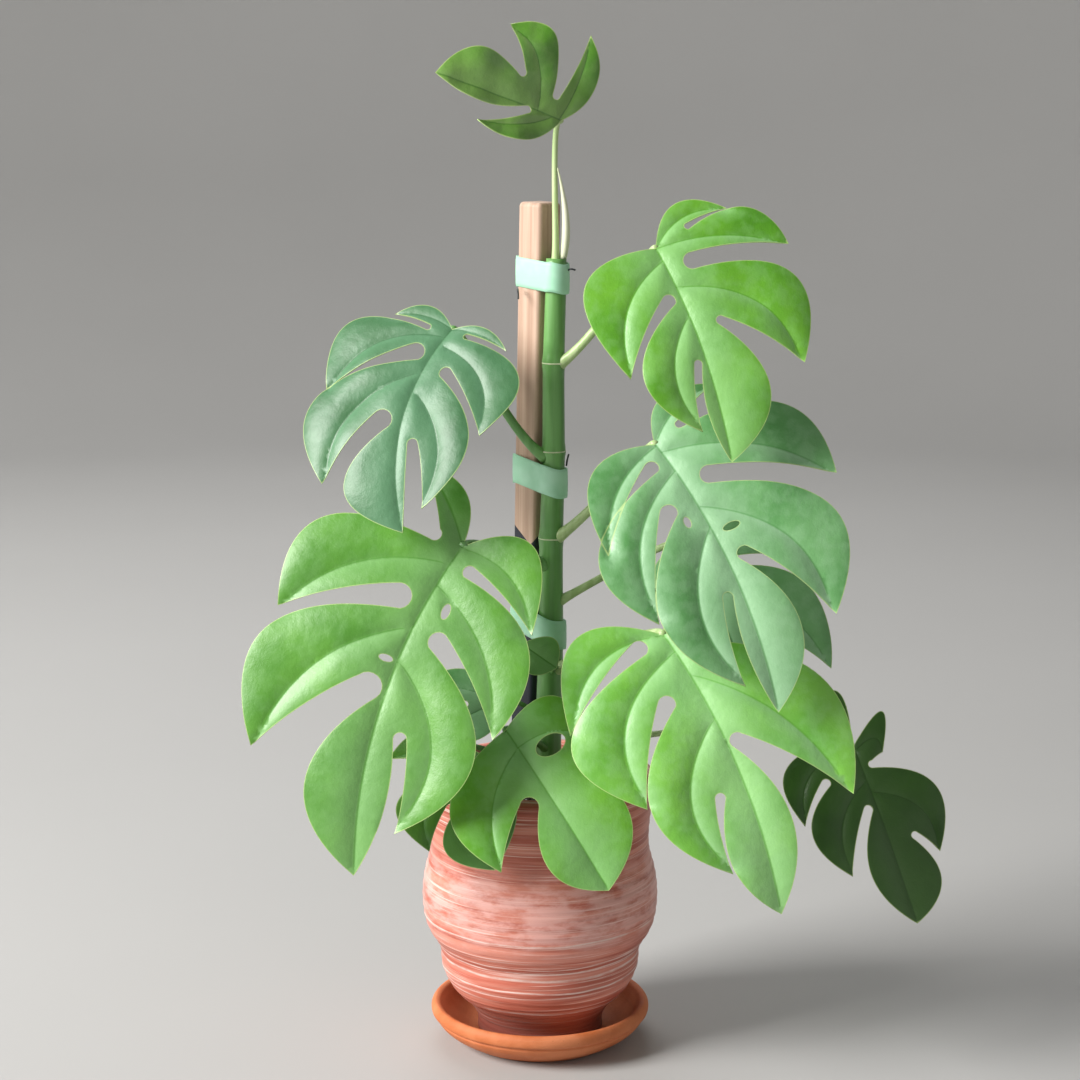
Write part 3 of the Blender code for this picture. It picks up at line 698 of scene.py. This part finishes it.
# %% Tape loops
def tape_loop(number, z, slope):
    """A flat tape with soft edges round the stake and the stem."""
    half = STAKE_SIDE / math.sqrt(2)
    corners = [Vector((stake_x(z) + half * math.cos(a), STAKE_Y + half * math.sin(a)))
               for a in (0, math.pi / 2, math.pi, 3 * math.pi / 2)]
    centre, radius = stem_at(z)
    held = [(corner, -0.7 * MM) for corner in corners] + [(centre.xy, radius + 0.2 * MM)]
    steps, thick = 144, 0.9 * MM
    section = [(thick * (0.5 + 0.5 * math.cos(a)), math.sin(a)) for a in (2 * math.pi * k / 12 for k in range(12))]
    section = [(out, STRAP_H / 2 * math.copysign(min(1.0, abs(up) * 1.15) ** 0.55, up)) for out, up in section]
    verts = []
    for k in range(steps):
        angle = 2 * math.pi * k / steps
        normal = Vector((math.cos(angle), math.sin(angle)))
        reach_all = [(corner.dot(normal) + r, corner, r) for corner, r in held]
        _, corner, r = max(reach_all, key=lambda item: item[0])
        lift = 0.35 * MM * math.sin(3 * angle + number)
        for out, up in section:
            p = corner + normal * (r + 0.35 * MM + out)
            verts.append((p.x, p.y, z + slope * p.x + up + lift))
    size = len(section)
    faces = [(k * size + j, ((k + 1) % steps) * size + j, ((k + 1) % steps) * size + (j + 1) % size,
              k * size + (j + 1) % size) for k in range(steps) for j in range(size)]
    obj = add_mesh(f"tape_{number}", verts, faces)
    work = bmesh.new()
    work.from_mesh(obj.data)
    bmesh.ops.recalc_face_normals(work, faces=work.faces[:])
    work.to_mesh(obj.data)
    work.free()
    return finish_piece(obj, TAPE, "strap", f"strap_{number}")


for number, (z, slope) in enumerate(STRAPS, start=1):
    tape_loop(number, z, slope)

TIE_ENDS = ((0, Vector((12.6, -5.0, 380.0)), Vector((16.6, -8.0, 381.0))),
            (1, Vector((12.6, -5.0, 288.0)), Vector((13.6, -9.0, 294.0))),
            (2, Vector((-10.5, 3.0, 371.0)), Vector((-10.2, -3.0, 367.0))))
for index, start, end in TIE_ENDS:
    bend = (start + end) / 2 + Vector((0.0, -1.5, 1.0))
    points = smooth_line([start * MM, bend * MM, end * MM], 6)
    tie = tube(f"tie_end_{index + 1}", points, [0.45 * MM] * len(points), 2)
    finish_piece(tie, TIE_WIRE, "strap")

# %% [markdown]
# ## Leaves
# A split leaf is one sheet, cut almost to the midrib. Its design is a short list: for each lobe the
# shoulder, the tip, the inner end of the slot after it and that slot's half width, in leaf lengths. Curves
# join them, and a net of triangles fills the outline. The vein of each lobe is a crease, and the blade
# swells like a pillow between the creases. That relief makes most of a leaf's light and shade.

# %% Leaf designs
LEAVES = {
    "leaf_upper_left": dict(
        base=(-41, -20, 355), tip=(-63, -62, 266), face=(-0.28, -0.92, 0.25), fold=0.14, droop=0.40,
        stem_z=292, petiole=2.1, holes=[], bow=0.11, finish=LEAF_SEA,
        left=[((0.13, -0.10), (0.30, -0.04), (0.10, 0.01), 0.015),
              ((0.54, 0.06), (0.53, 0.38), (0.10, 0.12), 0.045),
              ((0.60, 0.55), (0.44, 0.83), (0.18, 0.46), 0.050), ((0.31, 0.86),)],
        right=[((0.16, -0.02), (0.29, 0.08), (0.07, 0.03), 0.015),
               ((0.39, 0.22), (0.27, 0.51), (0.02, 0.21), 0.030),
               ((0.23, 0.56), (0.07, 0.88), (-0.04, 0.57), 0.025), ((-0.02, 0.84),)]),
    "leaf_lower_left": dict(
        base=(-36, -40, 256), tip=(-86, -85, 110), face=(-0.12, -0.93, 0.30), fold=0.14, droop=0.35,
        stem_z=240, petiole=2.3, holes=[(-0.02, 0.20, 0.012, 0.024), (0.10, 0.38, 0.020, 0.010)],
        bow=0.07, finish=LEAF_BRIGHT,
        left=[((0.04, -0.15), (0.19, -0.20), (0.07, 0.00), 0.020),
              ((0.46, 0.09), (0.46, 0.33), (0.09, 0.18), 0.038),
              ((0.49, 0.46), (0.40, 0.74), (0.10, 0.44), 0.040), ((0.20, 0.83),)],
        right=[((0.17, -0.07), (0.28, 0.19), (0.03, 0.06), 0.020),
               ((0.30, 0.26), (0.27, 0.51), (0.01, 0.27), 0.030),
               ((0.24, 0.61), (0.08, 0.85), (0.01, 0.57), 0.020), ((0.03, 0.86),)]),
    "leaf_upper_right": dict(
        base=(53, -30, 393), tip=(87, -65, 299), face=(0.02, -0.93, 0.34), fold=0.12, droop=0.35,
        stem_z=337, petiole=2.0, holes=[], bow=-0.035, finish=LEAF_RICH,
        left=[((0.32, 0.04), (0.30, 0.53), (0.01, 0.23), 0.030),
              ((0.25, 0.58), (0.08, 0.84), (0.00, 0.54), 0.018),
              ((0.03, 0.86),)],
        right=[((0.15, -0.17), (0.36, -0.08), (0.15, -0.05), 0.015),
               ((0.48, -0.03), (0.56, 0.16), (0.09, 0.10), 0.040),
               ((0.54, 0.33), (0.44, 0.69), (0.14, 0.39), 0.020), ((0.24, 0.81),)]),
    "leaf_mid_right": dict(
        base=(53, -41, 304), tip=(108, -90, 189), face=(0.03, -0.92, 0.38), fold=0.13, droop=0.30,
        stem_z=254, petiole=2.2, holes=[(-0.11, 0.37, 0.030, 0.013), (0.02, 0.30, 0.012, 0.020)],
        bow=-0.05, finish=LEAF_BLUE,
        left=[((0.22, 0.00), (0.31, 0.30), (0.03, 0.06), 0.025),
              ((0.36, 0.37), (0.25, 0.58), (0.05, 0.22), 0.030),
              ((0.24, 0.63), (0.07, 0.88), (0.00, 0.57), 0.018), ((0.02, 0.88),)],
        right=[((0.05, -0.12), (0.28, -0.12), (0.09, -0.03), 0.015),
               ((0.50, 0.10), (0.52, 0.34), (0.09, 0.16), 0.032),
               ((0.46, 0.50), (0.31, 0.78), (0.10, 0.45), 0.025), ((0.17, 0.82),)]),
    "leaf_lower_right": dict(
        base=(57, -54, 217), tip=(110, -100, 97), face=(0.00, -0.92, 0.38), fold=0.13, droop=0.30,
        stem_z=189, petiole=2.2, holes=[], bow=-0.05, finish=LEAF_PAINTED_LIGHT,
        left=[((0.27, -0.10), (0.42, 0.20), (0.07, 0.00), 0.030),
              ((0.44, 0.28), (0.28, 0.52), (0.07, 0.20), 0.030),
              ((0.27, 0.57), (0.10, 0.82), (0.04, 0.56), 0.018), ((0.08, 0.87),)],
        right=[((0.12, -0.12), (0.22, -0.03), (0.05, 0.03), 0.015),
               ((0.45, 0.44), (0.37, 0.73), (0.07, 0.40), 0.025),
               ((0.14, 0.78),)]),
    "leaf_far_right": dict(
        base=(155, 15, 144), tip=(184, -20, 64), face=(0.12, -0.95, 0.16), fold=0.10, droop=0.30,
        stem_z=142, petiole=1.5, holes=[], bow=0.0, finish=LEAF_PAINTED_SHADE,
        left=[((0.00, -0.33), (0.12, -0.26), (0.10, -0.06), 0.020),
              ((0.41, 0.03), (0.40, 0.33), (0.20, 0.13), 0.025),
              ((0.38, 0.38), (0.25, 0.66), (0.04, 0.33), 0.025), ((0.15, 0.74),)],
        right=[((0.22, -0.13), (0.14, 0.08), (0.04, 0.12), 0.020),
               ((0.34, 0.34), (0.24, 0.68), (0.13, 0.54), 0.020),
               ((0.19, 0.84),)]),
    "leaf_behind_right": dict(
        base=(71, -20, 254), tip=(105, -40, 171), face=(0.05, -0.92, 0.38), fold=0.10, droop=0.30,
        stem_z=222, petiole=1.8, holes=[], bow=0.0, finish=LEAF_BLUE,
        left=[((0.22, 0.05), (0.24, 0.36), (0.05, 0.22), 0.025), ((0.20, 0.66),)],
        right=[((0.28, -0.05), (0.38, 0.22), (0.10, 0.16), 0.025),
               ((0.46, 0.39), (0.44, 0.88), (0.10, 0.50), 0.025), ((0.14, 0.80),)]),
    "leaf_top": dict(
        base=(10, -8, 450), tip=(-48, -20, 472), face=(-0.15, -0.93, 0.34), fold=0.18, droop=-0.30,
        stem_z=386, petiole=1.4, holes=[], bow=0.0, finish=LEAF_NEW, ripple=0.055,
        left=[((0.30, -0.16), (0.62, 0.02), (0.12, 0.10), 0.030),
              ((0.56, 0.37), (0.49, 0.61), (0.19, 0.38), 0.030), ((0.26, 0.80),)],
        right=[((0.27, 0.26), (0.24, 0.62), (0.01, 0.25), 0.030), ((0.09, 0.62),)]),
    "leaf_front": dict(
        base=(-16, -52, 171), tip=(32, -84, 103), face=(0.05, -0.88, 0.46), fold=0.10, droop=0.15,
        stem_z=150, petiole=1.7, holes=[(-0.15, 0.20, 0.085, 0.055)], bow=0.0, finish=LEAF_RICH,
        left=[((0.52, 0.31), (0.43, 0.63), (0.09, 0.38), 0.050), ((0.20, 0.81),)],
        right=[((0.29, -0.03), (0.36, 0.36), (0.24, 0.38), 0.020), ((0.29, 0.76),)]),
    "leaf_low_back": dict(
        base=(-33, -45, 160), tip=(-21, -67, 107), face=(-0.05, -0.90, 0.42), fold=0.10, droop=0.10,
        stem_z=136, petiole=1.4, holes=[], bow=0.0, finish=LEAF_DARK,
        left=[((0.38, -0.22), (0.66, -0.05), (0.20, 0.12), 0.040),
              ((0.67, 0.35), (0.48, 0.75), (0.22, 0.42), 0.040), ((0.36, 0.74),)],
        right=[((0.28, 0.40),)]),
    "leaf_small_back": dict(
        base=(-15, -16, 177), tip=(-54, -26, 160), face=(-0.15, -0.88, 0.45), fold=0.10, droop=0.20,
        stem_z=166, petiole=1.2, holes=[], bow=0.0, finish=LEAF_BLUE,
        left=[((0.55, 0.38), (0.50, 0.98), (0.11, 0.44), 0.040), ((0.14, 0.72),)],
        right=[((0.30, 0.45),)]),
    "leaf_young": dict(
        base=(8, -22, 193), tip=(-9, -25, 206), face=(-0.10, -0.97, 0.20), fold=0.15, droop=0.40,
        stem_z=187, petiole=1.2, holes=[], bow=0.0, finish=LEAF_BRIGHT,
        left=[((0.50, 0.42),)], right=[((0.45, 0.45),)]),
}
BLADE_T = 0.50 * MM
BLADE_FIT = 0.995
NET = 0.020
EDGE_POINTS = 28
PILLOW = 0.020
PILLOW_REACH = 0.045
PILLOW_REST = 0.45
RIM_DROP = 0.004
RIM_REACH = 0.020
SHEEN_REACH = 0.035
RIPPLE = 0.014


# %% Outline and veins
def through(start, middle, end, count):
    """Points on a quadratic curve that passes through the middle point, without its end."""
    a = (middle - start).length
    b = (end - middle).length
    t = a / (a + b)
    control = (middle - (1 - t) ** 2 * start - t ** 2 * end) / (2 * t * (1 - t))
    return [(1 - s) ** 2 * start + 2 * s * (1 - s) * control + s ** 2 * end
            for s in (i / count for i in range(count))]


def side_outline(lobes, sign, count):
    """One side of a blade: out round each lobe to its tip, back in, and round the slot's inner end."""
    points = []
    start = Vector((0.0, 0.0))
    for lobe, following in zip(lobes, lobes[1:]):
        shoulder, tip, slot = (Vector((sign * x, y)) for x, y in lobe[:3])
        width = lobe[3]
        beyond = Vector((sign * following[0][0], following[0][1]))
        out = ((2 * tip + beyond) / 3 - slot).normalized()
        aside = Vector((out.y, -out.x)) * sign
        centre = slot + width * out
        back = centre + width * aside
        points += through(start, shoulder, tip, count)
        hollow = (tip + back) / 2 + 0.04 * (tip - back).length * aside
        points += through(tip, hollow, back, count - 4)
        points += [centre + width * (math.cos(a) * aside - math.sin(a) * out)
                   for a in (math.pi * k / 9 for k in range(9))]
        start = centre - width * aside
    shoulder = Vector((sign * lobes[-1][0][0], lobes[-1][0][1]))
    points += through(start, shoulder, Vector((0.0, 1.0)), count)
    return points


def rib_x(spec, y):
    """The midrib bows to one side between the leaf's base and its tip."""
    t = min(max(y, 0.0), 1.0)
    return spec["bow"] * 4 * t * (1 - t)


def side_veins(spec, lobes, sign):
    """One vein for each lobe, from the midrib through the lobe's middle to near its tip."""
    veins = []
    before = -0.02
    for lobe in lobes[:-1]:
        shoulder, tip, slot = (Vector((sign * x, y)) for x, y in lobe[:3])
        root_y = max(before + 0.35 * (slot.y - before), 0.004)
        root = Vector((rib_x(spec, root_y), root_y))
        middle = (1.2 * shoulder + slot + 0.8 * tip) / 3
        end = root + 0.97 * (tip - root)
        veins.append(through(root, middle, end, 22) + [end])
        before = slot.y
    return veins


def inside(points, loop):
    """Which points the outline goes round. Lobes that touch or overlap count, and the slot between doesn't."""
    turns = np.zeros(len(points), int)
    for a, b in zip(loop, loop[1:] + loop[:1]):
        if a.y != b.y:
            crosses = (a.y > points[:, 1]) != (b.y > points[:, 1])
            crosses &= points[:, 0] < (b.x - a.x) * (points[:, 1] - a.y) / (b.y - a.y) + a.x
            turns += np.where(crosses, 1 if b.y > a.y else -1, 0)
    return turns != 0


def distance(points, lines):
    """The distance of each point from the nearest line, below zero on that line's right side."""
    best = np.full(len(points), 1e9)
    side = np.ones(len(points))
    for line in lines:
        for a, run in zip(line[:-1], line[1:] - line[:-1]):
            off = points - a
            t = np.clip(off @ run / (run @ run + 1e-12), 0, 1)
            far = np.hypot(*(off - t[:, None] * run).T)
            near = far < best
            side[near] = np.where(run[0] * off[near, 1] < run[1] * off[near, 0], -1.0, 1.0)
            best[near] = far[near]
    return best * side


def flat_net(spec):
    """The blade before it is bent: flat points, triangles, and the distances that shape and colour it."""
    left = side_outline(spec["left"], 1.0, EDGE_POINTS)
    right = side_outline(spec["right"], -1.0, EDGE_POINTS)
    loop = left + [Vector((0.0, 1.0))] + right[:0:-1]
    holes = [[Vector((x + a * math.cos(t), y + b * math.sin(t))) for t in (math.pi * k / 12 for k in range(24))]
             for x, y, a, b in spec["holes"]]
    veins = side_veins(spec, spec["left"], 1.0)
    veins += [vein[::-1] for vein in side_veins(spec, spec["right"], -1.0)]
    rib = [Vector((rib_x(spec, y), y)) for y in (0.004 + 0.986 * k / 60 for k in range(61))]
    rims = [np.array(line + line[:1]) for line in [loop] + holes]
    ribs = [np.array(line) for line in [rib] + veins]
    span = range(-24, 60)
    grid = np.array([(NET * (i + 0.5 * (j % 2)), NET * j) for j in span for i in range(-38, 38)])
    rows = []
    for line in ribs:
        run = np.diff(line, axis=0)
        aside = np.stack([-run[:, 1], run[:, 0]], 1) / np.linalg.norm(run, axis=1)[:, None]
        rows += [line[:-1], line[:-1] + 0.007 * aside, line[:-1] - 0.007 * aside]
    for line in rims:
        run = np.diff(line, axis=0)
        aside = np.stack([-run[:, 1], run[:, 0]], 1) / (np.linalg.norm(run, axis=1)[:, None] + 1e-9)
        rows += [line[:-1] + reach * aside for reach in (-0.012, -0.0045, 0.0045, 0.012)]
    rows = np.concatenate(rows)
    grid = grid[inside(grid, loop)]
    net = np.concatenate([grid[abs(distance(grid, ribs)) > 0.016], rows[inside(rows, loop)]])
    net = net[abs(distance(net, rims)) > 0.003]
    points = loop + [p for hole in holes for p in hole] + [Vector(p) for p in net]
    edges = [(i, (i + 1) % len(loop)) for i in range(len(loop))]
    for number in range(len(holes)):
        first = len(loop) + 24 * number
        edges += [(first + k, first + (k + 1) % 24) for k in range(24)]
    verts, _, faces, _, _, _ = delaunay_2d_cdt(points, edges, [list(range(len(loop)))], 1, 1e-5)
    flat = np.array([tuple(v) for v in verts])
    middles = np.array([flat[list(f)].mean(axis=0) for f in faces])
    open_air = ~inside(middles, loop)
    for hole in holes:
        open_air |= inside(middles, hole)
    faces = [f for f, gone in zip(faces, open_air) if not gone]
    used = sorted({i for f in faces for i in f})
    number = {old: new for new, old in enumerate(used)}
    faces = [tuple(number[i] for i in f) for f in faces]
    flat = flat[used]
    return flat, faces, abs(distance(flat, rims)), distance(flat, ribs[1:] or ribs), distance(flat, ribs[:1])


def leaf_relief(spec, flat, margin, vein, rib):
    """Height off the blade's plane: fold, droop and arch, pillows between creases, and a soft rim."""
    x, y = flat[:, 0], flat[:, 1]
    t = np.clip(y, -0.3, 1.0)
    rise = spec["fold"] * (np.sqrt(x * x + 0.0008) - 0.028) - spec["droop"] * x * x + 0.20 * t * (1 - t)
    crease = np.minimum(abs(vein), abs(rib))
    rise += PILLOW * (PILLOW_REST - np.exp(-crease / PILLOW_REACH)) - RIM_DROP * np.exp(-margin / RIM_REACH)
    wave = [noise.noise(Vector((px * 4.5, py * 4.5, spec["stem_z"] * 0.37))) for px, py in flat]
    return rise + spec.get("ripple", RIPPLE) * np.array(wave) * np.clip(np.hypot(x, y) * 2, 0, 1)


# %% Blades
def blade_frame(spec):
    base = Vector(spec["base"]) * MM
    tip = Vector(spec["tip"]) * MM
    along = (tip - base).normalized()
    face = Vector(spec["face"])
    normal = (face - face.dot(along) * along).normalized()
    return base, along.cross(normal), along, normal, (tip - base).length


def blade(name, spec):
    """The bent net as the upper skin, the same net a little lower as the underside, and a rim between."""
    flat, faces, margin, vein, rib = flat_net(spec)
    base, side, along, normal, length = blade_frame(spec)
    length *= BLADE_FIT
    net = np.column_stack([flat, leaf_relief(spec, flat, margin, vein, rib)]).tolist()
    work = bmesh.new()
    verts = [work.verts.new(base + length * (x * side + y * along + h * normal)) for x, y, h in net]
    work.verts.index_update()
    for face in faces:
        work.faces.new([verts[i] for i in face])
    bmesh.ops.recalc_face_normals(work, faces=work.faces[:])
    if sum(f.normal.dot(normal) for f in work.faces) < 0:
        bmesh.ops.reverse_faces(work, faces=work.faces[:])
    work.normal_update()
    count = len(verts)
    places = [v.co + v.normal * BLADE_T / 2 for v in verts] + [v.co - v.normal * BLADE_T / 2 for v in verts]
    skin = [[v.index for v in f.verts] for f in work.faces]
    edge_loops = [e.link_loops[0] for e in work.edges if len(e.link_loops) == 1]
    rim = [(loop.vert.index, loop.link_loop_next.vert.index) for loop in edge_loops]
    work.free()
    solid = skin + [[count + i for i in reversed(f)] for f in skin]
    solid += [[b, a, count + a, count + b] for a, b in rim]
    obj = add_mesh(name + "_blade", places, solid)
    # Painted sheen mask: strongest just on the tip side of each side vein and away from the midrib, where the fold
    # faces the light.
    painted_sheen_mask = np.exp(-abs(vein) / SHEEN_REACH) * (vein > 0) * np.clip(abs(rib) / 0.05, 0, 1)
    labels = (("margin", margin * length), ("vein", abs(vein) * length), ("rib", abs(rib) * length), ("sheen", painted_sheen_mask))
    for label, values in labels:
        data = obj.data.attributes.new(label, "FLOAT", "POINT")
        data.data.foreach_set("value", np.concatenate([values, values]).astype(np.float32))
    under = obj.data.attributes.new("under", "FLOAT", "POINT")
    under.data.foreach_set("value", np.repeat([0.0, 1.0], count).astype(np.float32))
    finish_piece(obj, spec["finish"], "leaf", name)
    creased = {tuple(sorted(pair)) for pair in rim} | {tuple(sorted((count + a, count + b))) for a, b in rim}
    for edge in obj.data.edges:
        edge.use_edge_sharp = tuple(sorted(edge.vertices)) in creased
    return obj


# %% Stalks
def stalk(name, spec):
    """A stalk that leaves the stem from a widened foot and meets the back of the blade."""
    base, _, _, normal, _ = blade_frame(spec)
    radius = spec["petiole"] * MM
    end = base - normal * radius * 0.7
    centre, stem_r = stem_at(spec["stem_z"] * MM)
    on_top = spec["stem_z"] * MM >= STEM_TOP[2]
    out = Vector((end.x - centre.x, end.y - centre.y, 0.0)).normalized()
    start = centre + out * stem_r * 0.6
    lift = Vector((0.0, 0.0, 0.15))
    if on_top:
        start = centre - Vector((0.0, 0.0, 2 * MM))
        out = Vector((0.0, 0.0, 1.0))
    reach = (end - start).length
    points = interpolate_bezier(start, start + reach * (0.25 * out + lift),
                                end + reach * (0.7 * lift - 0.25 * normal), end, 40)
    radii = [radius * (blend(1.05, 0.92, i / 39) + 0.6 * math.exp(-i / 3.0)) for i in range(40)]
    pale = on_top or spec["base"][0] > 50
    obj = tube(name + "_stalk", points, radii, 6)
    return finish_piece(obj, STALK_PALE if pale else STEM, "stem", name)


for name, spec in LEAVES.items():
    made = blade(name, spec)
    stalk(name.replace("leaf", "petiole"), spec)
    print(name, len(made.data.polygons), "faces")

# %% Top sheath
foot, _ = stem_at(STEM_TOP[2])
start = foot + Vector((3.4 * MM, 0.0, 0.0))
points = interpolate_bezier(start, start + Vector((3 * MM, 0, 14 * MM)), start + Vector((0.5 * MM, 0, 30 * MM)),
                            start + Vector((-2.6 * MM, 0, 42 * MM)), 30)
ways = [i / 29 for i in range(30)]
sheath = tube("sheath_papery", points, [MM * (0.30 + 1.3 * (1 - t) + 1.2 * math.sin(math.pi * t) * (1 - t)) for t in ways], 6)
finish_piece(sheath, SHEATH, "sheath", "top_sheath")

# %% [markdown]
# ## Floor
# The floor is only a stage, so it is not part of the plant.

# %% Floor
FLOOR_R, CURVE_R, WALL_TOP = 1.9, 1.2, 3.6
sweep = [Vector((FLOOR_R * k / 4, 0.0)) for k in range(4)]
sweep += [Vector((FLOOR_R + CURVE_R * math.sin(a), CURVE_R * (1 - math.cos(a))))
          for a in (math.pi / 2 * k / 32 for k in range(33))]
sweep.append(Vector((FLOOR_R + CURVE_R, WALL_TOP)))
floor = turned("floor", sweep, closed=False)
floor.data.shade_smooth()
floor_finish = Finish("floor_pale", roughness=0.8)
cloud = floor_finish.noise(floor_finish.place(), 3.0)
tone = floor_finish.mix(cloud, (0.44, 0.435, 0.425), (0.47, 0.465, 0.455))
floor.data.materials.append(floor_finish.set(base_color=tone))
